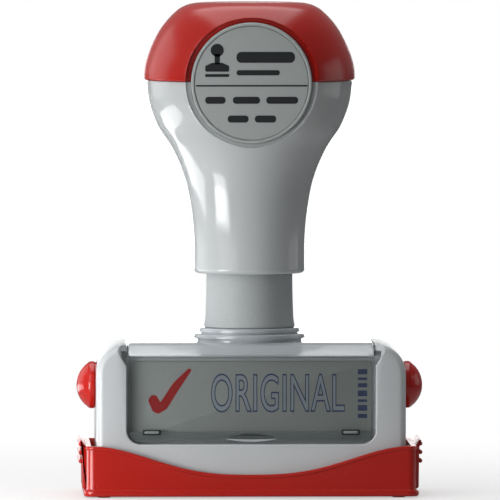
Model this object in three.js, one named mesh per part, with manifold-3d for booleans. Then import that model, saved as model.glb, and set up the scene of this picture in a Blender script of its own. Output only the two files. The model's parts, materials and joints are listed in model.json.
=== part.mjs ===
// Pre-inked hand stamp: a palm knob on a sliding stem, a casing with an index window on each long side,
// a sprung die unit inside it and a push-on dust cover below.
// Millimetres, +Z up, +X along the casing, front towards -Y. The origin is under the middle of the object,
// on the surface that it stands on.

import * as THREE from 'three';
import { mergeVertices } from 'three/addons/utils/BufferGeometryUtils.js';
import Module from 'manifold-3d';

const wasm = await Module();
wasm.setup();

// ---------------------------------------------------------------- driving dimensions

const GAP = 0.3;                  // clearance between pieces that touch or slide

// heights of the levels that the pieces meet at
const COVER_BASE = 0.25;          // underside of the dust cover, above its feet
const COVER_FLOOR = 1.25;         // inside floor of the dust cover
const FRAME_BASE = 1.6;           // lower edge of the casing
const TRAVEL = 4.7;               // stroke of the handle
const DIE_FACE = FRAME_BASE + TRAVEL - 0.1;   // printing face at rest; it ends its stroke just proud
const SILL_TOP = 10.2;            // lower edge of the window opening
const CAVITY_TOP = 25.4;          // underside of the casing's deck
const DECK_TOP = 27.0;            // top of the deck, under the clear cover
const FRAME_TOP = 29.2;           // top of the casing's shoulders
const CLEAR_TOP = 29.5;           // top of the clear cover
const COLLAR_TOP = 32.1;          // top of the stepped collar
const GRIP_BASE = 42.6;           // lower edge of the grip at rest
const GRIP_SEAM = 79.55;          // where the cap meets the grip
const TOTAL_HEIGHT = 94.8;

// casing
const FRAME_HALF_X = 29.7;
const FRAME_HALF_Y = 14;
const SHOULDER_R = 5.5;
const FRAME_EDGE = 1.4;           // rounding of the casing's front and rear edges
const CAVITY_HALF_X = 28.1;
const CAVITY_HALF_Y = 10.2;
const OPENING_HALF_X = 23.9;      // window opening and saddle channel
const OPENING_R = 2.7;
const POCKET_Y = 11.3;            // back of the window pocket

// window flaps and index cards
const FLAP_HALF_X = 23.6;
const FLAP_FRONT_Y = 13.5;
const FLAP_THICK = 1.6;
const FLAP_BASE = 10.5;
const HINGE_Z = 26.1;
const HINGE_Y = FLAP_FRONT_Y - FLAP_THICK / 2;
const CARD_HALF_X = 23.2;

// neck, grip and cap
const NECK_R = 8.3;
const NECK_BORE = 6.9;
const NECK_TOP = 50;
const GRIP_BORE = 8.95;
const GRIP_R = 10.65;
const WEB_BASE = 56;              // web inside the grip that the stem is screwed to
const WEB_TOP = 60;
const CAP_R = 20.35;
const ROD_R = 3.4;
const BOSS_TOP = 23.2;            // top of the die holder's boss, which the rod is pressed into

// round badge set into the knob
const BADGE_R = 11.6;
const BADGE_POCKET_R = 13.3;
const BADGE_FLOOR_Y = 13.5;
const BADGE_FACE_Y = 15.9;

// side buttons
const BUTTON_Z = 21.0;
const BUTTON_R = 4.55;
const BUTTON_HOLE_R = 4.9;
const BUTTON_TIP_X = 33.35;
const SEAT_X = 22.2;              // outer face of the wall that each button spring leans on

// dust cover
const TRAY_HALF_X = 31.6;
const TRAY_HALF_Y = 15.6;
const TRAY_WALL = 0.95;
const TRAY_R = 1.6;               // plan corners of the walls
const FLANGE_HALF_X = 32.15;
const FLANGE_HALF_Y = 16.2;
const FLANGE_R = 2.3;
const GRIP_FLARE_Z = 10.7;        // top of the flared end grips
const WAVE_LOW = 4.45;
const WAVE_HIGH = 9.9;

const COLOURS = {
  grip: 0xb9bdbe, cap: 0xb5352d, frame: 0xb4b8ba, clear: 0x9aa2a4, neck: 0xa4a8aa, button: 0xb43a33,
  tray: 0xa42a20, badge: 0xacb1af, card: 0x8a908d, steel: 0xb8bcc0, foam: 0x7c2a2e,
  die: 0xa5403c, black: 0x2c2e30,
};

// ---------------------------------------------------------------- helpers

const stamp = new THREE.Group();

// Closed geometry -> manifold solid, turned the right way out.
function solid(geometry) {
  geometry.deleteAttribute('normal');
  geometry.deleteAttribute('uv');
  const merged = mergeVertices(geometry, 1e-4);
  const mesh = new wasm.Mesh({
    numProp: 3,
    vertProperties: new Float32Array(merged.attributes.position.array),
    triVerts: new Uint32Array(merged.index.array),
  });
  const { triVerts, vertProperties } = mesh;
  const corner = (i) => new THREE.Vector3().fromArray(vertProperties, 3 * triVerts[i]);
  let volume = 0;
  for (let i = 0; i < triVerts.length; i += 3) {
    volume += corner(i).dot(corner(i + 1).cross(corner(i + 2)));
  }
  if (volume < 0) {
    for (let i = 0; i < triVerts.length; i += 3) {
      [triVerts[i], triVerts[i + 1]] = [triVerts[i + 1], triVerts[i]];
    }
    return new wasm.Manifold(new wasm.Mesh({ numProp: 3, vertProperties, triVerts }));
  }
  return new wasm.Manifold(mesh);
}

// Manifold solid -> named mesh in the stamp.
function place(name, body, colour, roughness = 0.4, metalness = 0, opacity = 1) {
  const { vertProperties, triVerts, numProp } = body.getMesh();
  const positions = new Float32Array((vertProperties.length / numProp) * 3);
  for (let i = 0; i < positions.length / 3; i += 1) {
    positions.set(vertProperties.subarray(i * numProp, i * numProp + 3), i * 3);
  }
  const geometry = new THREE.BufferGeometry();
  geometry.setAttribute('position', new THREE.BufferAttribute(positions, 3));
  geometry.setIndex(new THREE.BufferAttribute(new Uint32Array(triVerts), 1));
  geometry.computeVertexNormals();
  const material = new THREE.MeshStandardMaterial({
    color: colour, roughness, metalness, opacity, transparent: opacity < 1,
  });
  const mesh = new THREE.Mesh(geometry, material);
  mesh.name = name;
  stamp.add(mesh);
}

function box(x0, x1, y0, y1, z0, z1) {
  const geometry = new THREE.BoxGeometry(x1 - x0, y1 - y0, z1 - z0);
  geometry.translate((x0 + x1) / 2, (y0 + y1) / 2, (z0 + z1) / 2);
  return solid(geometry);
}

// Outline with rounded corners, centred on X; radii are [bottom, top].
function roundedOutline(halfX, y0, y1, bottomR, topR) {
  const shape = new THREE.Shape();
  shape.moveTo(-halfX + bottomR, y0);
  shape.lineTo(halfX - bottomR, y0);
  shape.absarc(halfX - bottomR, y0 + bottomR, bottomR, -Math.PI / 2, 0);
  shape.lineTo(halfX, y1 - topR);
  shape.absarc(halfX - topR, y1 - topR, topR, 0, Math.PI / 2);
  shape.lineTo(-halfX + topR, y1);
  shape.absarc(-halfX + topR, y1 - topR, topR, Math.PI / 2, Math.PI);
  shape.lineTo(-halfX, y0 + bottomR);
  shape.absarc(-halfX + bottomR, y0 + bottomR, bottomR, Math.PI, 1.5 * Math.PI);
  return shape;
}

// Plan outline carried up from z0 to z1.
function slab(shape, z0, z1, curveSegments = 4) {
  const geometry = new THREE.ExtrudeGeometry(shape, { depth: z1 - z0, bevelEnabled: false, curveSegments });
  geometry.translate(0, 0, z0);
  return solid(geometry);
}

// Front outline (x, z) carried from y0 to y1, with its edges rounded by edge.
function frontSlab(shape, y0, y1, edge = 0, curveSegments = 6) {
  const geometry = new THREE.ExtrudeGeometry(shape, {
    depth: y1 - y0 - 2 * edge, curveSegments, bevelEnabled: edge > 0,
    bevelThickness: edge, bevelSize: edge, bevelOffset: -edge, bevelSegments: 3,
  });
  geometry.rotateX(Math.PI / 2);
  geometry.translate(0, y1 - edge, 0);
  return solid(geometry);
}

// Side outline (y, z) carried along X, centred.
function sideSlab(points, halfX) {
  const shape = new THREE.Shape(points.map(([y, z]) => new THREE.Vector2(y, z)));
  const geometry = new THREE.ExtrudeGeometry(shape, { depth: 2 * halfX, bevelEnabled: false });
  geometry.rotateX(Math.PI / 2);
  geometry.rotateZ(Math.PI / 2);
  geometry.translate(-halfX, 0, 0);
  return solid(geometry);
}

// Closed profile [r, z] turned about Z.
function turned(profile, segments = 40) {
  const points = [...profile, profile[0]].map(([r, z]) => new THREE.Vector2(r, z));
  const onAxis = profile[0][0] === 0;
  const geometry = new THREE.LatheGeometry(onAxis ? points.slice(0, -1) : points, segments);
  geometry.rotateX(Math.PI / 2);
  return solid(geometry);
}

// Disc whose axis runs along Y, from y0 to y1, with a small edge chamfer at its front.
function disc(radius, centreZ, y0, y1, chamfer = 0, segments = 40) {
  const profile = [[0, -y1], [radius, -y1], [radius, -y0 - chamfer], [radius - chamfer, -y0], [0, -y0]];
  return turned(chamfer ? profile : [profile[0], profile[1], [radius, -y0], profile[4]], segments)
    .rotate([90, 0, 0]).translate([0, 0, centreZ]);
}

// Coil of the given turns between z0 and z1, with a lower pitch at both ends.
class Coil extends THREE.Curve {
  constructor(radius, z0, z1, turns) {
    super();
    Object.assign(this, { radius, z0, z1, turns });
  }

  getPoint(t, target = new THREE.Vector3()) {
    const angle = 2 * Math.PI * this.turns * t;
    const rise = THREE.MathUtils.smoothstep(t, -0.12, 1.12);
    const low = THREE.MathUtils.smoothstep(0, -0.12, 1.12);
    const climb = (rise - low) / (1 - 2 * low);
    return target.set(
      this.radius * Math.cos(angle), this.radius * Math.sin(angle), this.z0 + (this.z1 - this.z0) * climb,
    );
  }
}

function coilSpring(radius, wireR, z0, z1, turns, stepsPerTurn) {
  const section = new THREE.Shape();
  section.absarc(0, 0, wireR, 0, 2 * Math.PI);
  const path = new Coil(radius, z0 + wireR, z1 - wireR, turns);
  const geometry = new THREE.ExtrudeGeometry(section, {
    steps: Math.round(turns * stepsPerTurn), curveSegments: 3, bevelEnabled: false, extrudePath: path,
  });
  return solid(geometry);
}

// The same body turned half round Z, for the other side of the stamp.
const otherSide = (body) => body.rotate([0, 0, 180]);

// ---------------------------------------------------------------- casing

function outerFrame() {
  const outline = roundedOutline(FRAME_HALF_X, FRAME_BASE, FRAME_TOP, 1.7, SHOULDER_R);
  let frame = frontSlab(outline, -FRAME_HALF_Y, FRAME_HALF_Y, FRAME_EDGE);

  // hollow for the die unit, open below, with room beside the deck for the buttons' flanges
  const hollow = roundedOutline(CAVITY_HALF_X, -CAVITY_HALF_Y, CAVITY_HALF_Y, 1, 1);
  frame = frame.subtract(slab(hollow, 0, CAVITY_TOP));
  const seats = box(SEAT_X - 1.2, SEAT_X, -5, 5, 17, CAVITY_TOP + 0.5)
    .subtract(turned([[0, SEAT_X - 2], [2.4, SEAT_X - 2], [2.4, SEAT_X + 1], [0, SEAT_X + 1]], 16)
      .rotate([0, 90, 0]).translate([0, 0, BUTTON_Z]));
  frame = frame.add(seats).add(otherSide(seats));

  // saddle channel over the top, window pockets down the front and rear
  frame = frame.subtract(box(-OPENING_HALF_X, OPENING_HALF_X, -20, 20, DECK_TOP, 40));
  const pocket = frontSlab(roundedOutline(OPENING_HALF_X, SILL_TOP, 40, OPENING_R, 1), -20, -POCKET_Y);
  frame = frame.subtract(pocket).subtract(otherSide(pocket));

  // each shoulder is cut back in a slanting facet beside the clear cover's bevel
  const facet = 2.4;
  const rampBase = 25.0;
  const ramp = new THREE.BufferGeometry().setFromPoints([
    new THREE.Vector3(OPENING_HALF_X - 1, -FRAME_HALF_Y - 1, rampBase),
    new THREE.Vector3(OPENING_HALF_X - 1, -FRAME_HALF_Y - 1, 31),
    new THREE.Vector3(OPENING_HALF_X + 1.3 * facet, -FRAME_HALF_Y - 1, 31),
    new THREE.Vector3(OPENING_HALF_X - 1, -FRAME_HALF_Y + 1.3 * facet, 31),
  ]);
  ramp.setIndex([0, 1, 2, 0, 2, 3, 0, 3, 1, 1, 3, 2]);
  const rightRamp = solid(ramp);
  const leftRamp = rightRamp.mirror([1, 0, 0]);
  for (const cut of [rightRamp, leftRamp, otherSide(rightRamp), otherSide(leftRamp)]) {
    frame = frame.subtract(cut);
  }

  // hinge notches at the window's upper corners
  for (const side of [-1, 1]) {
    const x0 = side > 0 ? OPENING_HALF_X - 0.5 : -OPENING_HALF_X - 1;
    const notch = box(x0, x0 + 1.5, -FRAME_HALF_Y - 1, -POCKET_Y, HINGE_Z - 1, HINGE_Z + 2);
    frame = frame.subtract(notch).subtract(otherSide(notch));
  }

  // holes for the neck and the two buttons, and the pockets that their flanges slide in
  frame = frame.subtract(turned([[0, 20], [NECK_R + 0.4, 20], [NECK_R + 0.4, 40], [0, 40]]));
  const buttonHole = turned([[0, 24.9], [5.45, 24.9], [5.45, CAVITY_HALF_X], [BUTTON_HOLE_R, CAVITY_HALF_X],
    [BUTTON_HOLE_R, 40], [0, 40]], 24).rotate([0, 90, 0]).translate([0, 0, BUTTON_Z]);
  return frame.subtract(buttonHole).subtract(otherSide(buttonHole));
}

// Saddle of clear plastic over the deck, bevelled along both long edges, with a two-stepped collar.
function topCover() {
  const saddle = sideSlab([
    [-FLAP_FRONT_Y, DECK_TOP + 0.1], [FLAP_FRONT_Y, DECK_TOP + 0.1], [FLAP_FRONT_Y, DECK_TOP + 0.4],
    [11.9, 29.0], [11.4, 29.25], [8, CLEAR_TOP], [-8, CLEAR_TOP], [-11.4, 29.25], [-11.9, 29.0],
    [-FLAP_FRONT_Y, DECK_TOP + 0.4],
  ], FLAP_HALF_X);
  const bore = NECK_R + GAP;
  const collar = turned([
    [bore, DECK_TOP + 0.1], [10.1, DECK_TOP + 0.1], [10.1, 30.0], [10.4, 30.15], [10.65, 30.45], [10.4, 30.85],
    [9.3, 30.95], [9.3, 31.2], [9.5, 31.3], [9.6, 31.6], [9.5, 31.95], [9.3, COLLAR_TOP], [bore, COLLAR_TOP],
  ]);
  return saddle.subtract(turned([[0, 20], [9.5, 20], [9.5, 40], [0, 40]])).add(collar);
}

// Clear flap with its upper edge rounded about the hinge, an ear at each end, snap tabs and a finger notch.
function windowFlap() {
  const roundR = FLAP_THICK / 2;
  const side = [[-FLAP_FRONT_Y, FLAP_BASE], [-FLAP_FRONT_Y + FLAP_THICK, FLAP_BASE]];
  for (let i = 0; i <= 8; i += 1) {
    const angle = (Math.PI * i) / 8;
    side.push([-HINGE_Y + roundR * Math.cos(angle), HINGE_Z + roundR * Math.sin(angle)]);
  }
  const outline = roundedOutline(FLAP_HALF_X, FLAP_BASE, HINGE_Z + 10, OPENING_R - 0.3, 1);
  const ears = turned([[0, -1], [0.6, -1], [0.6, 1], [0, 1]].map(([r, x]) => [r, x * (FLAP_HALF_X + 0.9)]), 12)
    .rotate([0, 90, 0]).translate([0, -HINGE_Y, HINGE_Z]);
  let flap = sideSlab(side, FLAP_HALF_X).intersect(frontSlab(outline, -20, 0)).add(ears);
  for (const x of [-19.1, 19.1]) {
    flap = flap.add(box(x - 1.8, x + 1.8, -FLAP_FRONT_Y - 0.3, -FLAP_FRONT_Y + 0.3, 11.9, 13.0));
  }
  const lens = new THREE.Shape();
  lens.moveTo(-4.4, 11.6);
  lens.quadraticCurveTo(0, 13.4, 4.4, 11.6);
  lens.quadraticCurveTo(0, 9.9, -4.4, 11.6);
  return flap.subtract(frontSlab(lens, -FLAP_FRONT_Y - 1, -FLAP_FRONT_Y + 0.6));
}

// Fixed tube that the grip telescopes over; its flange sits under the deck, its ledge carries the spring.
function neckTube() {
  return turned([
    [4.0, 23.6], [9.9, 23.6], [9.9, CAVITY_TOP - GAP], [NECK_R, CAVITY_TOP - GAP], [NECK_R, COLLAR_TOP],
    [NECK_R + 0.4, COLLAR_TOP + 0.1], [NECK_R + 0.25, 33.4], [NECK_R + 0.08, 36.5], [NECK_R, 41],
    [NECK_R, NECK_TOP], [NECK_BORE, NECK_TOP], [NECK_BORE, 28], [4.0, 28],
  ]);
}

// ---------------------------------------------------------------- grip

function badgePocket() {
  return disc(BADGE_POCKET_R, GRIP_SEAM, -30, -BADGE_FLOOR_Y, 0, 48);
}

function gripShell() {
  const flare = new THREE.SplineCurve([
    [GRIP_R, GRIP_BASE + 0.8], [10.7, 49], [11.3, 55.2], [12.6, 61.3], [15.0, 66.95], [17.85, 71.3],
    [19.4, 75.25], [19.9, GRIP_SEAM],
  ].map(([r, z]) => new THREE.Vector2(r, z)));
  const outside = flare.getPoints(20).map((p) => [p.x, p.y]);
  return turned([
    [GRIP_BORE, GRIP_BASE], [GRIP_R - 0.8, GRIP_BASE], [GRIP_R - 0.2, GRIP_BASE + 0.25], ...outside,
    [11, GRIP_SEAM], [11, 72], [6.6, 66], [6.6, WEB_TOP], [1.9, WEB_TOP], [1.9, WEB_BASE], [GRIP_BORE, WEB_BASE],
  ]).subtract(badgePocket());
}

function topCap() {
  const seam = GRIP_SEAM + GAP;
  return turned([
    [CAP_R - 0.2, seam], [CAP_R, seam + 0.3], [CAP_R - 0.1, 82.15], [19.9, 83.65], [18.9, 86.5], [17.1, 89.85],
    [15.3, 92.1], [13.2, 93.8], [11.0, 94.6], [8.0, TOTAL_HEIGHT], [0, TOTAL_HEIGHT], [0, 90], [6, 89],
    [8.7, 85], [8.7, 76], [10.7, 76], [10.7, seam],
  ].reverse()).subtract(badgePocket());
}

function badgeDisc() {
  const plate = disc(BADGE_R, GRIP_SEAM, -BADGE_FACE_Y, -BADGE_FLOOR_Y - 0.1, 0.35, 48);
  return plate.subtract(disc(BADGE_R - 0.6, GRIP_SEAM, -20, -BADGE_FACE_Y + 0.35, 0, 48));
}

// ---------------------------------------------------------------- die unit

function plungerRod() {
  return turned([
    [0, 17.3], [ROD_R, 17.3], [ROD_R, WEB_BASE - 0.3], [1.8, WEB_BASE - 0.3], [1.8, 46], [0, 46],
  ], 24);
}

function gripScrew() {
  const body = turned([
    [0, 47], [1.4, 47], [1.4, WEB_TOP + 1], [3.0, WEB_TOP + 1], [3.0, 62.2], [2.4, 63], [0, 63],
  ], 20);
  const slot = box(-2.0, 2.0, -0.35, 0.35, 61.9, 64);
  return body.subtract(slot).subtract(slot.rotate([0, 0, 90]));
}

const ring = (inner, outer, z0, z1, segments = 24) => turned(
  [[inner, z0], [outer, z0], [outer, z1], [inner, z1]], segments,
);

function dieHolder() {
  let holder = slab(roundedOutline(26, -9.4, 9.4, 1.2, 1.2), 8.6, 14.8);
  holder = holder.subtract(box(-24.2, 24.2, -8, 8, 8, 13.8));
  holder = holder.add(turned([[0, 14], [7, 14], [7, BOSS_TOP], [0, BOSS_TOP]], 32));
  for (const y of [-4.5, 4.5]) {
    holder = holder.add(box(-15, 15, y - 0.6, y + 0.6, 14.4, 18));
  }
  return holder.subtract(turned([[0, 17], [ROD_R + GAP, 17], [ROD_R + GAP, 30], [0, 30]], 24));
}

// Polymer die: base plate, printing block and a raised tick with plain bars, mirrored for printing.
function diePlate() {
  let die = box(-23, 23, -7.6, 7.6, 8.0, 9.2).add(box(-20.6, 20.6, -6.6, 6.6, 7.0, 8.1));
  const tick = new THREE.Shape([
    [19.6, 0], [18.2, 1.2], [16.8, -1.4], [12.4, 5.6], [11.2, 5], [16.4, -4.4], [17.4, -4.6],
  ].map(([x, y]) => new THREE.Vector2(x, y)));
  die = die.add(slab(tick, DIE_FACE, 7.1));
  for (let i = 0; i < 6; i += 1) {
    const x = -18.2 + 4.5 * i;
    die = die.add(box(x, x + 3.2, -3.8, 3.8, DIE_FACE, 7.1));
  }
  return die;
}

function dieClamp() {
  const outer = slab(roundedOutline(25.8, -9.2, 9.2, 1.2, 1.2), 6.9, 8.3);
  return outer.subtract(box(-23.4, 23.4, -8, 8, 7.7, 9)).subtract(box(-20.9, 20.9, -6.9, 6.9, 6, 9));
}

// ---------------------------------------------------------------- buttons

// Right-hand button: domed head, shank in the casing's hole, captive flange and guide stem.
function sideButton() {
  return turned([
    [0, SEAT_X - 1.6], [2.0, SEAT_X - 1.6], [2.0, 26.9], [5.15, 26.9], [5.15, 27.8], [BUTTON_R - 0.15, 27.8],
    [BUTTON_R - 0.15, 29.9], [BUTTON_R, 30.0], [BUTTON_R, 30.6], [4.3, 31.2], [3.5, 32.15], [2.4, 32.9],
    [1.2, 33.25], [0, BUTTON_TIP_X],
  ], 24).rotate([0, 90, 0]).translate([0, 0, BUTTON_Z]);
}

function buttonSpring() {
  return coilSpring(3.2, 0.25, SEAT_X + 0.1, 26.8, 4, 10).rotate([0, 90, 0]).translate([0, 0, BUTTON_Z]);
}

// ---------------------------------------------------------------- dust cover

// Height of the wave along the long walls: low in the middle, high at both ends.
function waveHeight(x) {
  const t = Math.min(Math.abs(x) / 30.5, 1) ** 1.35;
  return WAVE_LOW + (WAVE_HIGH - WAVE_LOW) * Math.sin((Math.PI / 2) * t) ** 2;
}

function dustCover() {
  const plan = (halfX, halfY, corner) => roundedOutline(halfX, -halfY, halfY, corner, corner);
  let tray = slab(plan(FLANGE_HALF_X, FLANGE_HALF_Y, FLANGE_R), COVER_BASE, 1.4);
  tray = tray.add(slab(plan(TRAY_HALF_X, TRAY_HALF_Y, TRAY_R), 1, WAVE_HIGH));
  const inside = plan(TRAY_HALF_X - TRAY_WALL, TRAY_HALF_Y - TRAY_WALL, TRAY_R - TRAY_WALL);
  tray = tray.subtract(slab(inside, COVER_FLOOR, 20));

  // everything above the wave is cut away, end walls excepted
  const wave = new THREE.Shape();
  const steps = 24;
  wave.moveTo(-TRAY_HALF_X + 0.2, 20);
  for (let i = 0; i <= steps; i += 1) {
    const x = (TRAY_HALF_X - 0.2) * (-1 + (2 * i) / steps);
    wave.lineTo(x, waveHeight(x));
  }
  wave.lineTo(TRAY_HALF_X - 0.2, 20);
  tray = tray.subtract(frontSlab(wave, -20, 20));

  // flared grip panel with three ribs at each end
  const panel = new THREE.Shape([
    [31.3, 1.2], [32.5, 1.2], [32.5, 9.2], [32.95, GRIP_FLARE_Z], [32.4, GRIP_FLARE_Z], [31.6, 9.6], [31.3, 9.6],
  ].map(([x, z]) => new THREE.Vector2(x, z)));
  let grip = frontSlab(panel, -9, 9);
  for (const z of [6.7, 8.35, 10.0]) {
    const rib = new THREE.CylinderGeometry(0.4, 0.4, 17, 8);
    rib.translate(32.7, 0, z);
    grip = grip.add(solid(rib));
  }
  tray = tray.add(grip).add(otherSide(grip));

  for (const [sx, sy] of [[-1, -1], [1, -1], [-1, 1], [1, 1]]) {
    tray = tray.add(turned([[0, 0], [1.2, 0], [1.5, 0.5], [0, 0.5]], 12).translate([28.3 * sx, 13.2 * sy, 0]));
  }
  return tray;
}

// ---------------------------------------------------------------- assembly

place('outer_frame', outerFrame(), COLOURS.frame);
place('top_cover', topCover(), COLOURS.clear, 0.1, 0, 0.5);
place('neck_tube', neckTube(), COLOURS.neck, 0.6);

const cardBody = box(-CARD_HALF_X, CARD_HALF_X, -POCKET_Y - 0.45, -POCKET_Y - 0.15, 11, 26);
place('front_window', windowFlap(), COLOURS.clear, 0.1, 0, 0.4);
place('rear_window', otherSide(windowFlap()), COLOURS.clear, 0.1, 0, 0.4);
place('front_index_card', cardBody, COLOURS.card, 0.8);
place('rear_index_card', otherSide(cardBody), COLOURS.card, 0.8);

place('grip_shell', gripShell(), COLOURS.grip, 0.25);
place('top_cap', topCap(), COLOURS.cap, 0.2);
place('badge_disc', badgeDisc(), COLOURS.badge, 0.5);
place('badge_label', disc(BADGE_R - 0.75, GRIP_SEAM, -BADGE_FACE_Y + 0.1, -BADGE_FACE_Y + 0.3, 0, 48),
  COLOURS.badge, 0.6);

place('plunger_rod', plungerRod(), COLOURS.black, 0.5);
place('grip_screw', gripScrew(), COLOURS.steel, 0.3, 1);
place('screw_washer', ring(1.9, 4.6, WEB_TOP + 0.1, WEB_TOP + 0.9), COLOURS.steel, 0.3, 1);
place('spring_washer', ring(ROD_R + GAP, 6.6, WEB_BASE - 0.8, WEB_BASE - 0.1), COLOURS.steel, 0.3, 1);
place('return_spring', coilSpring(5.8, 0.45, 28.1, WEB_BASE - 0.9, 9, 12), COLOURS.steel, 0.3, 1);
place('die_holder', dieHolder(), COLOURS.black, 0.5);
place('ink_foam', box(-23.6, 23.6, -7.5, 7.5, 9.5, 13.6), COLOURS.foam, 0.95);
place('die_plate', diePlate(), COLOURS.die, 0.7);
place('die_clamp', dieClamp(), COLOURS.black, 0.5);

place('right_button', sideButton(), COLOURS.button, 0.2);
place('left_button', otherSide(sideButton()), COLOURS.button, 0.2);
place('right_button_spring', buttonSpring(), COLOURS.steel, 0.3, 1);
place('left_button_spring', otherSide(buttonSpring()), COLOURS.steel, 0.3, 1);

place('dust_cover', dustCover(), COLOURS.tray, 0.25);

// The badge flattens the knob's front, so the knob's back reaches further than the cover's front:
// the stamp moves forward by half the difference, to stand with the origin under its middle.
stamp.position.y = (FLANGE_HALF_Y - CAP_R) / 2;

export default stamp;
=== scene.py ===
"""Looks of a pre-inked hand stamp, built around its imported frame.

Every shape is worked out in millimetres about the stem's axis, with z up from the surface that the stamp
stands on, x along the casing and the front towards -y, and is put into metres in the row frame at the end.
"""

import json
import math

import bpy
import numpy as np
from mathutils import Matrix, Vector


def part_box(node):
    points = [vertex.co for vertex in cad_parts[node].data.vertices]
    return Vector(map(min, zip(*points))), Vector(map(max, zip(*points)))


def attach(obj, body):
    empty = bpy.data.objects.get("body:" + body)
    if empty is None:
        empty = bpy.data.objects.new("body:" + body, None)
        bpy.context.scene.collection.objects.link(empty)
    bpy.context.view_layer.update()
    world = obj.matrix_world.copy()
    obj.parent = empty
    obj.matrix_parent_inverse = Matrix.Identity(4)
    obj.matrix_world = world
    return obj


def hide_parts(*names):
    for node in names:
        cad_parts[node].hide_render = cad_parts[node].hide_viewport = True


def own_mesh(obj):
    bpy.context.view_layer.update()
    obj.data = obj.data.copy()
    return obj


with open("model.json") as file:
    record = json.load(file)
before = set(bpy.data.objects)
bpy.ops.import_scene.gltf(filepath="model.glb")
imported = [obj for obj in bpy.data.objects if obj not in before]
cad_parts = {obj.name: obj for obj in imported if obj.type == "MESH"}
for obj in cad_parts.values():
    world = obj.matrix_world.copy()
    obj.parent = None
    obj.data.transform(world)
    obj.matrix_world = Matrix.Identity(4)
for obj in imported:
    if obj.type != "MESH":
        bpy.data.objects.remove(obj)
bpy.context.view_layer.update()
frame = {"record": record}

MM = 0.001


# ------------------------------------------------------------------ places, read from the frame

def corners(node):
    """Lowest and highest corner of a CAD node in mm, with y counted from the stem's axis."""
    low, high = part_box(node)
    shift = np.array([0, STEM_Y, 0])
    return (np.array(low) / MM - shift).round(3), (np.array(high) / MM - shift).round(3)


STEM_Y = 0.0
neck_low, neck_high = corners("neck_tube")
STEM_Y = float(neck_low[1] + neck_high[1]) / 2
neck_low, neck_high = corners("neck_tube")

frame_low, frame_high = corners("outer_frame")
clear_low, clear_high = corners("top_cover")
flap_low, flap_high = corners("front_window")
card_low, card_high = corners("front_index_card")
grip_low, grip_high = corners("grip_shell")
cap_high = corners("top_cap")[1]
badge_low, badge_high = corners("badge_disc")
label_low, label_high = corners("badge_label")
rod_low, rod_high = corners("plunger_rod")
screw_low, screw_high = corners("grip_screw")
holder_low, holder_high = corners("die_holder")
foam_low, foam_high = corners("ink_foam")
die_low, die_high = corners("die_plate")
clamp_low, clamp_high = corners("die_clamp")
button_low, button_high = corners("right_button")
coil_low, coil_high = corners("return_spring")
button_coil_low, button_coil_high = corners("right_button_spring")

RUN = 0.3                                    # running clearance between pieces
EAR = 0.9                                    # how far a flap's hinge ears stand out at each end
SEAM = grip_high[2]                          # where the cap meets the grip
BADGE_Z = (badge_low[2] + badge_high[2]) / 2
BADGE_R = (badge_high[0] - badge_low[0]) / 2
POCKET_R = BADGE_R + 1.15
POCKET_FLOOR = badge_high[1] + 0.1           # y of the floor that the badge lies on
FLAP_HALF = flap_high[0] - EAR
OPENING_HALF = FLAP_HALF + RUN
SILL = flap_low[2] - RUN
FLAP_THICK = 1.6
FLAP_FRONT = clear_low[1]                    # y of the flaps' faces, under the clear cover's front edge
DECK = clear_low[2] - 0.1
FRAME_HALF_X, FRAME_HALF_Y = frame_high[0], frame_high[1]
BUTTON_Z = (button_low[2] + button_high[2]) / 2
NECK_R = 8.3


# ------------------------------------------------------------------ shapes, as whole arrays

def soften(points, closed=True, steps=6):
    """Outline from corners (x, y, radius). Each corner gives way to the arc that touches both of its sides:
    it starts and ends radius / tan(half angle) away, round a centre radius / sin(half angle) away."""
    points = [(p[0], p[1], p[2] if len(p) > 2 else 0.0) for p in points]
    outline = []
    for i, (x, y, radius) in enumerate(points):
        here = np.array([x, y])
        if radius <= 0 or (not closed and i in (0, len(points) - 1)):
            outline.append(here[None])
            continue
        back = np.array(points[i - 1][:2]) - here
        ahead = np.array(points[(i + 1) % len(points)][:2]) - here
        back, ahead = back / np.linalg.norm(back), ahead / np.linalg.norm(ahead)
        half = math.acos(float(np.clip(back @ ahead, -1, 1))) / 2
        centre = here + (back + ahead) / np.linalg.norm(back + ahead) * radius / math.sin(half)
        start = here + back * radius / math.tan(half) - centre
        finish = here + ahead * radius / math.tan(half) - centre
        a0, a1 = math.atan2(start[1], start[0]), math.atan2(finish[1], finish[0])
        a1 = a0 + (a1 - a0 + math.pi) % (2 * math.pi) - math.pi
        t = np.linspace(a0, a1, steps + 1)
        outline.append(centre + radius * np.stack([np.cos(t), np.sin(t)], 1))
    return np.concatenate(outline)


def smooth_through(points, count):
    """Curve through the points (cubic Hermite), with each tangent taken from the two neighbours."""
    p = np.asarray(points, float)
    chord = np.concatenate([[0], np.cumsum(np.linalg.norm(np.diff(p, axis=0), axis=1))])
    slope = np.gradient(p, chord, axis=0)
    t = np.linspace(0, chord[-1], count)
    i = np.clip(np.searchsorted(chord, t, side="right") - 1, 0, len(p) - 2)
    step = chord[i + 1] - chord[i]
    u = ((t - chord[i]) / step)[:, None]
    return ((1 + 2 * u) * (1 - u) ** 2 * p[i] + u * (1 - u) ** 2 * step[:, None] * slope[i]
            + u ** 2 * (3 - 2 * u) * p[i + 1] + u ** 2 * (u - 1) * step[:, None] * slope[i + 1])


def unit(vectors):
    """Each row made one long."""
    return vectors / np.linalg.norm(vectors, axis=1, keepdims=True)


def quads(rows, columns, rows_close=False):
    """Corner numbers of the four-sided faces of a grid of rows x columns points, whose rows are rings."""
    i, j = np.arange(rows if rows_close else rows - 1)[:, None], np.arange(columns)[None]
    right, down = (j + 1) % columns, (i + 1) % rows
    return np.stack([i * columns + j, i * columns + right, down * columns + right, down * columns + j],
                    -1).reshape(-1, 4).tolist()


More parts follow.
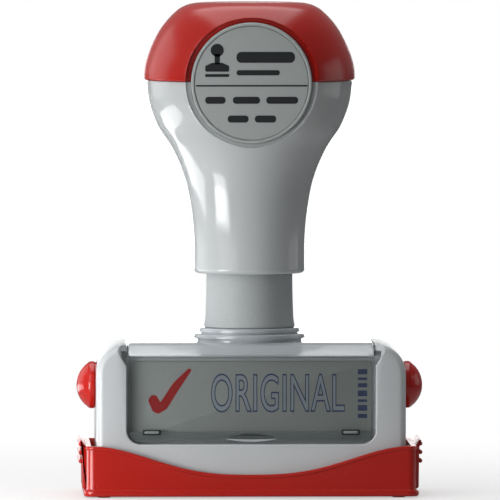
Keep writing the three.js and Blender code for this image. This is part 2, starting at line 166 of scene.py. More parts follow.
def capped(grid):
    """Closed body through rings of points, with one face at either end."""
    rows, columns = grid.shape[:2]
    ends = [list(range(columns))[::-1], [(rows - 1) * columns + k for k in range(columns)]]
    return grid.reshape(-1, 3), quads(rows, columns) + ends


def turned(profile, around=128):
    """Turned body: each (r, z) of the profile runs round the axis as (r cos t, r sin t, z). A profile that
    starts on the axis ends on it too, in two poles; any other one closes on itself."""
    profile = np.asarray(profile, float)
    poles = profile[0, 0] == 0
    rim = profile[1:-1] if poles else profile
    t = np.linspace(0, 2 * np.pi, around, endpoint=False)
    rings = np.stack([rim[:, :1] * np.cos(t), rim[:, :1] * np.sin(t), rim[:, 1:] + 0 * t], -1)
    points, faces = rings.reshape(-1, 3), quads(len(rim), around, not poles)
    if poles:
        first, last = len(points), len(points) + 1
        k = np.arange(around)
        end = (len(rim) - 1) * around
        points = np.concatenate([points, [[0, 0, profile[0, 1]], [0, 0, profile[-1, 1]]]])
        faces += np.stack([k * 0 + first, (k + 1) % around, k], 1).tolist()
        faces += np.stack([k * 0 + last, end + k, end + (k + 1) % around], 1).tolist()
    return points, faces


def inset(outline, amount):
    """Closed outline with each side moved inwards by its own amount: a corner goes to where its two moved
    sides meet."""
    side = unit(np.roll(outline, -1, 0) - outline)
    area = np.sum(outline[:, 0] * np.roll(outline[:, 1], -1) - np.roll(outline[:, 0], -1) * outline[:, 1])
    inward = np.stack([-side[:, 1], side[:, 0]], 1) * np.sign(area)
    before, a_before = np.roll(inward, 1, 0), np.roll(amount, 1)
    c = np.sum(before * inward, 1)
    sharp = c < 0.9
    spread = np.where(sharp, 1 - c ** 2, 1.0)
    along_before = np.where(sharp, (a_before - c * amount) / spread, (a_before + amount) / 2 / (1 + c))
    along_after = np.where(sharp, (amount - c * a_before) / spread, (a_before + amount) / 2 / (1 + c))
    return outline + before * along_before[:, None] + inward * along_after[:, None]


def between(rings):
    """Closed body through rings of (x, z) points, each at its own y."""
    return capped(np.array([np.stack([xz[:, 0], y, xz[:, 1]], 1) for xz, y in rings]))


def plate(outline, y0, y1, edge=0.0, steps=5):
    """Slab with an (x, z) outline between y0 and y1, whose edges are rounded by a quarter circle. Each side
    of the outline may have an edge of its own size."""
    outline = np.asarray(outline, float)
    edge = np.broadcast_to(np.asarray(edge, float), (len(outline),))
    if edge.max() == 0:
        return between([(outline, np.full(len(outline), y)) for y in (y0, y1)])
    face, around = inset(outline, edge), np.maximum(edge, np.roll(edge, 1))
    turns = np.linspace(0, math.pi / 2, steps + 1)
    rings = [(face + (outline - face) * math.sin(t), around * (1 - math.cos(t))) for t in turns]
    return between([(xz, y0 + y) for xz, y in rings] + [(xz, y1 - y) for xz, y in rings[::-1]])


def walled(path, sections):
    """Tray: at each point of a closed plan path stands a section of (outwards, z) points, from the middle of
    the underside round the wall to the middle of the floor. Both flats are closed by one face."""
    ahead = unit(np.roll(path, -1, 0) - np.roll(path, 1, 0))
    outward = np.stack([ahead[:, 1], -ahead[:, 0]], 1)
    xy = path[:, None] + outward[:, None] * sections[:, :, :1]
    return capped(np.concatenate([xy, sections[:, :, 1:]], 2).transpose(1, 0, 2))


def coil(radius, wire, z0, z1, turns, around=10, per_turn=48):
    """Spring: a round wire along (R cos t, R sin t, z), where z climbs slowly in the first and last turn and
    evenly between them. The section's two directions are the radius and the one square to it and the wire."""
    t = np.linspace(0, 1, int(turns * per_turn) + 1)
    end = 0.8 / turns
    climb = np.interp(t, [0, end, 1 - end, 1], [0, end * 0.35, 1 - end * 0.35, 1])
    angle = 2 * np.pi * turns * t
    height = z0 + wire + (z1 - z0 - 2 * wire) * climb
    centre = np.stack([radius * np.cos(angle), radius * np.sin(angle), height], 1)
    tangent = unit(np.gradient(centre, axis=0))
    radial = np.stack([np.cos(angle), np.sin(angle), 0 * angle], 1)
    square = np.cross(tangent, radial)
    a = np.linspace(0, 2 * np.pi, around, endpoint=False)[:, None]
    return capped(centre[:, None] + wire * (radial[:, None] * np.cos(a) + square[:, None] * np.sin(a)))


def oblong(x0, x1, z0, z1, radius, steps=6):
    """Outline of a rectangle with rounded corners."""
    return soften([(x0, z0, radius), (x1, z0, radius), (x1, z1, radius), (x0, z1, radius)], steps=steps)


def block(low, high, round_edge=0.0):
    """Rounded box between two corners."""
    outline = oblong(low[0], high[0], low[2], high[2], round_edge, 4)
    return plate(outline, low[1], high[1], round_edge, steps=4)


def lying_slab(plan, z0, z1, edge):
    """Slab with an (x, y) plan between two heights, with rounded edges."""
    points, faces = plate(plan, z0, z1, edge)
    return points[:, [0, 2, 1]], faces


def turn(shell, axis, degrees):
    """The shell turned about an axis through the origin."""
    c, s = math.cos(math.radians(degrees)), math.sin(math.radians(degrees))
    matrix = {"x": [[1, 0, 0], [0, c, -s], [0, s, c]], "y": [[c, 0, s], [0, 1, 0], [-s, 0, c]],
              "z": [[c, -s, 0], [s, c, 0], [0, 0, 1]]}[axis]
    return shell[0] @ np.array(matrix).T, shell[1]


def shift(shell, x=0.0, y=0.0, z=0.0):
    """The shell moved."""
    return shell[0] + np.array([x, y, z]), shell[1]


def facing_front(profile, around=96):
    """Turned body whose axis runs along -y: the profile's z becomes the distance in front of the stem."""
    return turn(turned(profile, around), "x", 90)


def facing_right(profile, around=64):
    """Turned body whose axis runs along +x, at the buttons' height."""
    return shift(turn(turned(profile, around), "y", 90), z=BUTTON_Z)


def outward(shell):
    """The shell with its faces pointing out: the signed volume of the fans of its faces is made positive."""
    points, faces = shell
    fans = np.array([(f[0], f[k], f[k + 1]) for f in faces for k in range(1, len(f) - 1)])
    a, b, c = points[fans[:, 0]], points[fans[:, 1]], points[fans[:, 2]]
    volume = np.einsum("ij,ij->", a - points.mean(0), np.cross(b - points.mean(0), c - points.mean(0)))
    return shell if volume > 0 else (points, [f[::-1] for f in faces])


def mesh_of(name, shells):
    """Mesh of one or more closed shells, in metres in the row frame."""
    points, faces, count = [], [], 0
    for shell in map(outward, shells):
        points.append(shell[0])
        faces += [[k + count for k in f] for f in shell[1]]
        count += len(shell[0])
    mesh = bpy.data.meshes.new(name)
    mesh.from_pydata(((np.concatenate(points) + [0, STEM_Y, 0]) * MM).tolist(), [], faces)
    mesh.validate()
    return mesh


def in_scene(name, data):
    """New object in the scene."""
    obj = bpy.data.objects.new(name, data)
    bpy.context.scene.collection.objects.link(obj)
    return obj


def final_mesh(obj):
    """Mesh of the object as its modifiers, or its letters, make it."""
    return bpy.data.meshes.new_from_object(obj.evaluated_get(bpy.context.evaluated_depsgraph_get()))


def settle(obj):
    """Applies the object's modifiers to its mesh."""
    mesh = final_mesh(obj)
    obj.modifiers.clear()
    obj.data = mesh


def cut_or_join(obj, shells, operation="DIFFERENCE"):
    """Cuts shells out of the object, or joins them to it, one after the other."""
    for number, shell in enumerate(shells):
        name = f"tool_{number}"
        tool = in_scene(name, mesh_of(name, [shell]))
        change = obj.modifiers.new(operation.lower(), "BOOLEAN")
        change.object, change.operation, change.solver = tool, operation, "MANIFOLD"
        settle(obj)
        bpy.data.objects.remove(tool)


def piece(name, shells, finish, body, stands_for=(), cuts=(), joins=(), edge=0.0, sharp=35):
    """One piece of the stamp: its mesh, joins and cuts, edges softened by so many mm, faces that meet at more
    than the sharp angle, finish, body, and the CAD nodes it stands for."""
    obj = in_scene(name, mesh_of(name, shells))
    cut_or_join(obj, joins, "UNION")
    cut_or_join(obj, cuts)
    if edge:
        bevel = obj.modifiers.new("edges", "BEVEL")
        bevel.width, bevel.segments = edge * MM, 3
        bevel.limit_method, bevel.angle_limit = "ANGLE", math.radians(40)
        settle(obj)
    obj.data.shade_smooth()
    obj.data.set_sharp_from_angle(angle=math.radians(sharp))
    obj.data.materials.clear()
    obj.data.materials.append(finish)
    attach(obj, body)
    if stands_for:
        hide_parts(*stands_for)
    return obj


# ------------------------------------------------------------------ finishes

class Wire:
    """A node's output. Arithmetic on wires writes Math nodes."""

    def __init__(self, nodes, socket):
        self.nodes, self.socket = nodes, socket

    def math(self, operation, *values):
        return self.nodes.node("Math", {"operation": operation}, dict(enumerate(values)))

    def __add__(self, other):
        return self.math("ADD", self, other)

    def __sub__(self, other):
        return self.math("SUBTRACT", self, other)

    def __mul__(self, other):
        return self.math("MULTIPLY", self, other)

    def __rsub__(self, other):
        return self.math("SUBTRACT", other, self)

    __radd__, __rmul__ = __add__, __mul__

    def over(self, low, high):
        """0 below low, 1 above high and a smooth step between."""
        return self.nodes.node("MapRange", {"interpolation_type": "SMOOTHSTEP"},
                               {0: self, 1: low, 2: high, 3: 0.0, 4: 1.0})


class Nodes:
    """An empty node tree, and the one way that nodes are put into it."""

    def __init__(self, tree):
        self.tree = tree
        tree.nodes.clear()

    def put(self, socket, value):
        if isinstance(value, Wire):
            self.tree.links.new(value.socket, socket)
        else:
            socket.default_value = value

    def node(self, kind, settings=(), inputs=(), out=0):
        """One node: its settings first, then the values or links of its sockets. Gives one of its outputs."""
        node = self.tree.nodes.new("ShaderNode" + kind)
        for key, value in dict(settings).items():
            setattr(node, key, value)
        for key, value in dict(inputs).items():
            self.put(node.inputs[key], value)
        return Wire(self, node.outputs[out]) if node.outputs else node


class Finish(Nodes):
    """A procedural material: a Principled surface, and the nodes that feed it."""

    def __init__(self, name, **surface):
        self.material = bpy.data.materials.new(name)
        self.material.use_nodes = True
        super().__init__(self.material.node_tree)
        self.place = self.node("TexCoord", out="Object")
        self.surface = self.node("BsdfPrincipled")
        self.output = self.node("OutputMaterial", {}, {"Surface": self.surface})
        self.feed(**surface)

    def feed(self, **values):
        """Sets or links inputs of the Principled surface; coat_weight stands for Coat Weight."""
        for key, value in values.items():
            name = {"ior": "IOR", "specular": "Specular IOR Level"}.get(key, key.replace("_", " ").title())
            self.put(self.surface.socket.node.inputs[name], value)

    def noise(self, scale, detail=3.0, roughness=0.5, stretch=(1, 1, 1)):
        """Cloudy noise from 0 to 1, with the given number of features to the metre."""
        place = self.node("Mapping", {}, {"Vector": self.place, "Scale": stretch})
        return self.node("TexNoise", {}, {"Vector": place, "Scale": scale, "Detail": detail,
                                          "Roughness": roughness})

    def tint(self, factor, first, second):
        """Colour that goes from first to second as the factor goes from 0 to 1."""
        return self.node("Mix", {"data_type": "RGBA"}, {0: factor, 6: first, 7: second}, out=2)

    def mottle(self, factor, base, first, second):
        """Colour that goes from one shade of the base to another as the factor goes from 0 to 1."""
        self.feed(base_color=self.tint(factor, shade(base, first), shade(base, second)))

    def bump(self, height, distance_mm, strength=1.0):
        self.feed(normal=self.node("Bump", {}, {"Strength": strength, "Distance": distance_mm * MM,
                                                "Height": height}))


def colour(red, green, blue, alpha=1.0):
    """Screen colour from 0 to 255 turned into linear light."""
    linear = [c / 255 / 12.92 if c <= 10 else ((c / 255 + 0.055) / 1.055) ** 2.4 for c in (red, green, blue)]
    return (*linear, alpha)


def shade(base, amount):
    """The colour made lighter or darker by a share."""
    return (*[min(1.0, c * amount) for c in base[:3]], base[3])


def moulded(name, base, rough, peel=0.0144, cloud=0.05, handled=0.06):
    """Moulded plastic: faint clouds in the colour, an orange-peel skin, and polish that hands have dulled in
    patches and crossed with hairline scratches."""
    finish = Finish(name, roughness=rough, ior=1.5)
    finish.mottle(finish.noise(45, 3) * 0.8 + finish.noise(1500, 2) * 0.2, base, 1 - cloud, 1 + cloud)
    patches = finish.noise(70, 3, 0.5).over(0.25, 0.85)
    hairlines = finish.noise(700, 2, 0.6, (1, 1, 0.05)).over(0.64, 0.74)
    finish.feed(roughness=rough + patches * handled + hairlines * 0.03)
    finish.bump(finish.noise(320, 3) * 0.7 + finish.noise(2400, 1) * 0.3 - hairlines * 0.08, peel, 0.35)
    return finish.material


def spark_eroded(name, base):
    """Matte moulded plastic with the fine even grain of a spark-eroded mould."""
    finish = Finish(name, ior=1.48)
    grain = finish.noise(5200, 2, 0.7)
    finish.mottle(grain.over(0.3, 0.7), base, 0.9, 1.05)
    finish.feed(roughness=0.5 + grain * 0.12)
    rubbed = finish.noise(160, 2, 0.5, (1, 1, 0.12))
    finish.bump(grain * 0.8 + rubbed * 0.2, 0.03, 0.35)
    return finish.material


def lip_band_and_highlight(finish, top_mm, share):
    """Extra share of solid colour below a height, where the plate is thicker, and most along its step, where
    it is a painted highlight line in place of the edge catching the light.
    """
    height = finish.node("SeparateXYZ", {}, {0: finish.place}, out=2)
    top = top_mm * MM
    below = 1 - height.over(top - 0.3 * MM, top)
    # painted highlight: a thin band of extra solid colour along the lip's step, standing for its edge
    # catching the light
    step = height.over(top - 0.16 * MM, top - 0.04 * MM) - height.over(top, top + 0.08 * MM)
    return below * share + step * 0.5


def clear_plastic(name, tint_colour, solid_share, lip=None):
    """Thin clear plastic: partly see-through, with dust specks and hairlines that show in its polish, and
    more solid at grazing angles, where its reflections show and its tint comes up as a painted sheen.
    """
    finish = Finish(name, base_color=tint_colour, ior=1.5, coat_weight=0.4, coat_roughness=0.03)
    hairlines = finish.noise(500, 2, 0.6, (0.06, 1, 1)).over(0.63, 0.7)
    dust = finish.noise(1700, 1).over(0.72, 0.78)
    finish.feed(roughness=0.06 + hairlines * 0.12 + dust * 0.3)
    # more solid towards grazing angles: partly so that the real reflections show there, partly a painted
    # sheen of the tint along edges and bevels
    rim = finish.node("LayerWeight", {}, {"Blend": 0.35}, out="Facing")
    finish.feed(alpha=solid_share + rim * 0.55 + dust * 0.12 + (0 if lip is None else lip_band_and_highlight(finish, *lip)))
    finish.bump(finish.noise(120, 2), 0.02, 0.3)
    return finish.material


def satin_label(name, base):
    """Satin printed foil with a fine speckle."""
    finish = Finish(name, ior=1.45)
    speckle = finish.noise(3800, 2)
    finish.mottle(speckle, base, 0.96, 1.04)
    finish.feed(roughness=0.42 + finish.noise(140, 3) * 0.1)
    finish.bump(speckle, 0.01, 0.3)
    return finish.material


def coated_card(name, base):
    """Coated card: mottled fibres under a thin coat, slightly darker towards the edges of the clouds."""
    finish = Finish(name, ior=1.4)
    fibres = finish.noise(1300, 4, 0.7, (0.3, 1, 1))
    clouds = finish.noise(70, 3)
    finish.mottle(clouds * 0.6 + fibres * 0.4, base, 0.9, 1.08)
    finish.feed(roughness=0.55 + fibres * 0.15)
    finish.bump(fibres, 0.02, 0.4)
    return finish.material


def printed(name, base, spread=0.12):
    """Printing ink: uneven where the screen laid it on thin."""
    finish = Finish(name, ior=1.45)
    thin = finish.noise(2600, 3, 0.6)
    finish.mottle(thin, base, 1 - spread, 1 + spread)
    finish.feed(roughness=0.45 + thin * 0.2)
    finish.bump(thin, 0.008, 0.4)
    return finish.material


def drawn_steel(name, base, rough):
    """Drawn or turned steel with fine lines along it and dull spots."""
    finish = Finish(name, metallic=1.0)
    lines = finish.noise(1800, 2, 0.5, (1, 1, 6))
    spots = finish.noise(240, 3).over(0.5, 0.8)
    finish.mottle(spots, base, 1, 0.75)
    finish.feed(roughness=rough + lines * 0.12 + spots * 0.1)
    finish.bump(lines, 0.01, 0.4)
    return finish.material


def open_foam(name, base):
    """Open-cell foam soaked with ink: dark pores between lighter cell walls, painted shade in the pores and
    painted light on the walls, and glossy where it is wet.
    """
    finish = Finish(name, ior=1.38)
    cells = finish.node("TexVoronoi", {"feature": "DISTANCE_TO_EDGE"},
                        {"Vector": finish.place, "Scale": 1500.0})
    wet = finish.noise(110, 3).over(0.4, 0.7)
    # painted shade in the pores and painted light on the cell walls
    finish.mottle(cells.over(0.02, 0.3), base, 1.7, 0.6)
    finish.feed(roughness=0.85 - wet * 0.45)
    finish.bump(1 - cells.over(0.0, 0.25), 0.25, 0.8)
    return finish.material


def printing_rubber(name, base):
    """Microporous printing rubber, stained unevenly by its ink."""
    finish = Finish(name, ior=1.45)
    pores = finish.noise(6000, 2, 0.8)
    stain = finish.noise(120, 4).over(0.35, 0.75)
    finish.mottle(stain, base, 1, 0.55)
    finish.feed(roughness=0.6 - stain * 0.2 + pores * 0.1)
    finish.bump(pores, 0.03, 0.5)
    return finish.material


GREY = colour(196, 200, 201)
RED = colour(182, 30, 22)

grip_grey = moulded("grip_grey", GREY, 0.09, handled=0.03)
frame_grey = moulded("frame_grey", colour(194, 198, 200), 0.27, peel=0.0192)
cap_red = moulded("cap_red", RED, 0.2, cloud=0.04)
cover_red = moulded("cover_red", colour(180, 28, 18), 0.2, cloud=0.05, handled=0.09)
button_red = moulded("button_red", colour(184, 28, 20), 0.16, handled=0.03)
neck_grey = spark_eroded("neck_grey", colour(176, 181, 182))
inner_black = spark_eroded("inner_black", colour(46, 48, 51))
window_clear = clear_plastic("window_clear", colour(112, 120, 120), 0.03, lip=(12.5, 0.3))
catch_clear = clear_plastic("catch_clear", colour(150, 158, 158), 0.75)
cover_clear = clear_plastic("cover_clear", colour(206, 213, 217), 0.6)
badge_grey = satin_label("badge_grey", colour(176, 181, 180))
card_stock = coated_card("card_stock", colour(150, 157, 154))
ink_red = printed("ink_red", colour(160, 14, 10))
ink_blue = printed("ink_blue", colour(58, 70, 104))
ink_pale = printed("ink_pale", colour(146, 157, 164), 0.06)
ink_black = printed("ink_black", colour(34, 37, 40))
spring_steel = drawn_steel("spring_steel", colour(196, 198, 200), 0.25)
screw_steel = drawn_steel("screw_steel", colour(206, 204, 196), 0.3)
foam_ink = open_foam("foam_ink", colour(120, 26, 30))
die_rubber = printing_rubber("die_rubber", colour(176, 74, 68))


# ------------------------------------------------------------------ grip, cap and badge

def pocket_cutter():
    """Tool for the badge's pocket: a seat that fits the badge, in a wider hole whose floor turns up into its
    wall in a soft fillet."""
    floor, mouth = -POCKET_FLOOR, 30.0
    ledge = floor + 1.3
    profile = soften([(0, floor), (BADGE_R + 0.1, floor), (BADGE_R + 0.1, ledge), (POCKET_R, ledge, 0.95),
                      (POCKET_R, mouth), (0, mouth)], closed=False, steps=8)
    return shift(facing_front(profile, 128), z=BADGE_Z)


def make_grip():
    """Grip: a tube that flares into the lower half of the knob."""
    base, r = grip_low[2], 10.65
    flare = smooth_through([(r, base + 0.9), (10.7, base + 6.5), (11.3, base + 12.7), (12.6, base + 18.8),
                            (15.0, base + 24.35), (17.85, base + 28.7), (19.35, base + 32.65),
                            (19.9, SEAM - 0.17)], 90)
    lower_edge = soften([(8.95, base), (r, base, 0.85), (r, base + 0.9)], closed=False, steps=8)[:-1]
    inside = soften([(19.9, SEAM - 0.17), (19.8, SEAM + 0.18), (11, SEAM + 0.18, 0.3), (11, 72, 2),
                     (6.6, 66, 2), (6.6, 60, 0.3), (1.9, 60), (1.9, 56), (8.95, 56, 0.3), (8.95, base)],
                    closed=False)[1:-1]
    shell = turned(np.concatenate([lower_edge, flare, inside]), 192)
    piece("grip", [shell], grip_grey, "handle", ("grip_shell",), cuts=[pocket_cutter()],
          edge=0.22)


def make_cap():
    """Cap: the domed upper half of the knob, with a spigot below that plugs into the grip."""
    seam, top, r = SEAM + RUN, cap_high[2], cap_high[0]
    dome = smooth_through([(r, seam + 0.5), (r, seam + 1.1), (20.22, seam + 2.45), (19.9, seam + 3.85),
                           (19.4, seam + 5.35), (18.75, seam + 6.85), (17.2, seam + 9.7), (15.6, top - 3.2),
                           (14.5, top - 2.1), (13.4, top - 1.2), (12.2, top - 0.6), (10.8, top - 0.22),
                           (9, top - 0.06), (5, top - 0.02), (0, top - 0.01)], 120)
    under = soften([(0, 89.5), (6, 88.6, 2), (8.7, 84, 1), (8.7, 76), (10.7, 76, 0.5), (10.7, seam, 0.3),
                    (r - 0.25, seam), (r, seam + 0.25)], closed=False)
    piece("cap", [turned(np.concatenate([under, dome]), 192)], cap_red, "handle", ("top_cap",),
          cuts=[pocket_cutter()], edge=0.22)


def make_badge():
    """Badge: a flat disc with a thin raised rim, and the printed label inside it."""
    back, face = -badge_high[1], -badge_low[1]
    profile = soften([(0, back), (BADGE_R, back, 0.2), (BADGE_R, face, 0.3), (BADGE_R - 0.55, face, 0.15),
                      (BADGE_R - 0.7, face - 0.35, 0.1), (0, face - 0.35)], closed=False)
    piece("badge", [shift(facing_front(profile, 160), z=BADGE_Z)], badge_grey, "handle",
          ("badge_disc",))
    back, face = -label_high[1], -label_low[1]
    foil_r = BADGE_R - 0.76
    profile = soften([(0, back), (foil_r, back), (foil_r, face, 0.06), (0, face)], closed=False)
    piece("badge_foil", [shift(facing_front(profile, 160), z=BADGE_Z)], badge_grey, "handle",
          ("badge_label",))


def flat_print(outlines, face, thick=0.03):
    """Thin slabs of ink with (x, z) outlines, lying on a face that looks to the front."""
    return [plate(o, face - thick, face) for o in outlines]


def bar(x0, x1, z0, z1, radius=0.3):
    """Outline of a bar with rounded ends."""
    radius = min(radius, (z1 - z0) / 2.01, (x1 - x0) / 2.01)
    return oblong(x0, x1, z0, z1, radius, 5)


def ring_outline(cx, cz, radius, count=40):
    """Outline of a disc."""
    t = np.linspace(0, 2 * np.pi, count, endpoint=False)
    return np.stack([cx + radius * np.cos(t), cz + radius * np.sin(t)], 1)


def make_badge_print():
    """Printing on the badge: a plain hand-stamp sign and two bars, a rule, and two rows of bars below it."""
    z = BADGE_Z
    sign = [ring_outline(-6.6, z + 6.3, 1.25), bar(-7.1, -6.1, z + 3.6, z + 5.6, 0.1),
            soften([(-8.9, z + 2.2, 0.3), (-4.3, z + 2.2, 0.3), (-4.3, z + 3.3, 0.3), (-5.6, z + 3.9, 0.4),
                    (-7.6, z + 3.9, 0.4), (-8.9, z + 3.3, 0.3)], steps=4),
            bar(-8.9, -4.3, z + 1.2, z + 1.75, 0.15)]
    name_bars = [bar(-2.9, 8.3, z + 3.9, z + 6.0, 0.9), bar(-2.9, 5.4, z + 1.5, z + 2.5, 0.45)]
    rule = [bar(-10.7, 10.7, z - 0.65, z - 0.35, 0.1)]
    rows = []
    for spans, top in (((-8.9, -5.0, -3.6, 1.6, 2.8, 8.9), z - 2.6), ((-4.6, -0.6, 0.6, 4.7), z - 6.2)):
        rows += [bar(a, b, top - 1.35, top, 0.6) for a, b in zip(spans[::2], spans[1::2])]
    face = label_low[1]
    piece("badge_print", flat_print(sign + name_bars + rule + rows, face), ink_black, "handle")


# ------------------------------------------------------------------ neck and clear cover

def make_neck():
    """Neck: a fixed tube, waisted and flared at its foot, with a flange below and a ledge for the spring."""
    foot = clear_high[2] + 0.1
    waist = smooth_through([(NECK_R + 0.42, foot + 0.25), (NECK_R + 0.26, foot + 1.2),
                            (NECK_R + 0.1, foot + 4), (NECK_R, foot + 8), (NECK_R, neck_high[2] - 0.6)], 40)
    low, flange = neck_low[2], neck_high[0]
    below = soften([(4.0, low, 0.2), (flange, low, 0.3), (flange, low + 1.5, 0.3), (NECK_R, low + 1.5, 0.3),
                    (NECK_R, foot - 0.1), (NECK_R + 0.36, foot)], closed=False)
    inside = soften([(NECK_R - 0.5, neck_high[2]), (6.9, neck_high[2], 0.3), (6.9, 28, 0.4), (4.0, 28, 0.2),
                     (4.0, low)], closed=False)[:-1]
    tube = turned(np.concatenate([below, waist, inside]), 128)
    piece("neck", [tube], neck_grey, "casing", ("neck_tube",))


def make_clear_cover():
    """Clear cover: a saddle over the casing's deck with a bevel along both long edges, and a collar of two
    rounded steps round the neck."""
    low, y, top = clear_low[2], -clear_low[1], DECK + 2.5
    outline = soften([(-y, low, 0.15), (y, low, 0.15), (y, low + 0.35, 0.3), (y - 1.75, top - 0.45, 0.5),
                      (y - 4.2, top - 0.02, 2), (0, top + 0.06, 40), (4.2 - y, top - 0.02, 2),
                      (1.75 - y, top - 0.45, 0.5), (-y, low + 0.35, 0.3)], steps=5)
    saddle = turn(plate(outline, -FLAP_HALF, FLAP_HALF, 0.55, steps=5), "z", 90)
    bore, collar_top = NECK_R + RUN, clear_high[2]
    steps = soften([(bore, low + 0.1), (10.1, low + 0.1), (10.1, top + 0.45, 0.2), (10.65, top + 0.62, 0.25),
                    (10.65, top + 1.4, 0.36), (9.35, top + 1.5, 0.12), (9.3, top + 1.68, 0.1),
                    (9.62, top + 1.75, 0.2), (9.62, collar_top, 0.36), (bore, collar_top, 0.15)], steps=6)
    hole = turned([(0, 20), (9.4, 20), (9.4, 40), (0, 40)], 96)
    piece("clear_cover", [saddle], cover_clear, "casing", ("top_cover",), cuts=[hole],
          sharp=30)
    piece("collar", [turned(steps, 160)], cover_clear, "casing")


# ------------------------------------------------------------------ casing

def opening_cutter(back):
    """Tool for one window opening, from outside the casing to its back wall. The outline widens towards the
    outside: by a quarter round of 0.3, which above the facet's foot grows into a slanting facet."""
    o, foot, z1 = OPENING_HALF, frame_high[2] - 4.2, frame_high[2]
    climb = np.linspace(foot, z1 + 3, 12)
    sides = soften([(o, foot), (o, SILL, 2.7), (-o, SILL, 2.7), (-o, foot)], closed=False, steps=10)[1:-1]
    outline = np.concatenate([[(o, z) for z in climb[::-1]], sides, [(-o, z) for z in climb]])
    grow = np.clip((outline[:, 1] - foot) / (z1 - foot), 0, 2)
    facet = np.where(np.abs(outline[:, 0]) > o - 0.01, 2.1 * grow, 0.0)
    middle_x = np.clip(outline[:, 0], 2.7 - o, o - 2.7)
    from_middle = outline - np.stack([middle_x, 0 * middle_x + SILL + 2.7], 1)
    normal = unit(np.where(outline[:, 1:] > SILL + 2.7, np.sign(outline[:, :1]) * [[1, 0]], from_middle))
    rings = [(outline + normal * (facet + 0.3)[:, None], np.full(len(outline), -FRAME_HALF_Y - 4))]
    for t in np.linspace(0, 1, 6):
        wide = 0.3 * (1 - math.sin(t * math.pi / 2)) + facet * (1 - t)
        deep = 0.3 * (1 - math.cos(t * math.pi / 2)) + facet * t
        rings.append((outline + normal * wide[:, None], deep - FRAME_HALF_Y))
    rings.append((outline, np.full(len(outline), back)))
    return between(rings)


def make_casing():
    """Casing: a slab with rounded edges all round, cut down to its deck between two end towers, with a window
    opening in front and behind, and hollow from below."""
    x, z0, z1, o = FRAME_HALF_X, frame_low[2], frame_high[2], OPENING_HALF
    outline = soften([(-x, z1, 5.5), (-x, z0, 1.7), (x, z0, 1.7), (x, z1, 5.5)], steps=14)
    shell = plate(outline, -FRAME_HALF_Y, FRAME_HALF_Y, 1.4, steps=7)
    back = card_high[1] + 0.15
    window = opening_cutter(back)
    deck = block((-o, -20, DECK), (o, 20, 40))
    cavity = block((-28.1, -10.2, -5), (28.1, 10.2, 25.4), 1.0)
    neck_hole = turned([(0, 20), (NECK_R + 0.4, 20), (NECK_R + 0.4, 40), (0, 40)], 64)
    button_hole = facing_right(soften([(0, 24.9), (5.45, 24.9), (5.45, 28.1), (4.9, 28.1),
                                       (4.9, x - 0.35, 0.3), (5.25, x + 0.02), (5.25, 40), (0, 40)],
                                      closed=False), 96)
    notch = [(o - 0.6, 25.2), (o + 0.15, 25.4), (o + 1.05, 26.9), (o + 1.1, 28.1), (o - 0.6, 28.1)]
    cuts = [window, turn(window, "z", 180), deck, cavity, neck_hole, button_hole, turn(button_hole, "z", 180)]
    for side in (-1, 1):
        cuts += [plate(np.array([(side * a, b) for a, b in notch]), *y) for y in ((-16, back), (-back, 16))]
    piece("casing", [shell], frame_grey, "casing", ("outer_frame",), cuts=cuts, sharp=28,
          edge=0.1)
    wall = block((21.0, -5, 17), (22.2, 5, 25.6), 0.2)
    guide = facing_right([(0, 20), (2.4, 20), (2.4, 23), (0, 23)], 32)
    piece("spring_seats", [turn(wall, "z", 180), wall], frame_grey, "casing",
          cuts=[guide, turn(guide, "z", 180)])


# ------------------------------------------------------------------ windows and cards

SNAPS = (-19.1, 19.1)                        # x of the middle of each snap slot


def finger_edges():
    """Two bowed lines of the finger notch: a low one that stands proud, to be finished light as a painted
    highlight, and one above it, to be finished dark as painted shade in the notch. Both follow the bow
    1 - (x / 4.8)^2, each edge with its own share of it."""
    x = np.linspace(-4.8, 4.8, 25)
    bow = 1 - (x / 4.8) ** 2
    lines = []
    for reach, (z_low, bow_low), (z_high, bow_high), proud in ((1.0, (11.17, -0.5), (11.26, -0.12), 0.27),
                                                               (0.9, (11.58, 0.2), (11.64, 0.46), 0.17)):
        edges = [np.stack([x * reach, z_low + bow_low * bow], 1),
                 np.stack([x * reach, z_high + bow_high * bow], 1)[::-1]]
        lines.append(plate(np.concatenate(edges), FLAP_FRONT - proud, FLAP_FRONT - 0.12))
    return lines


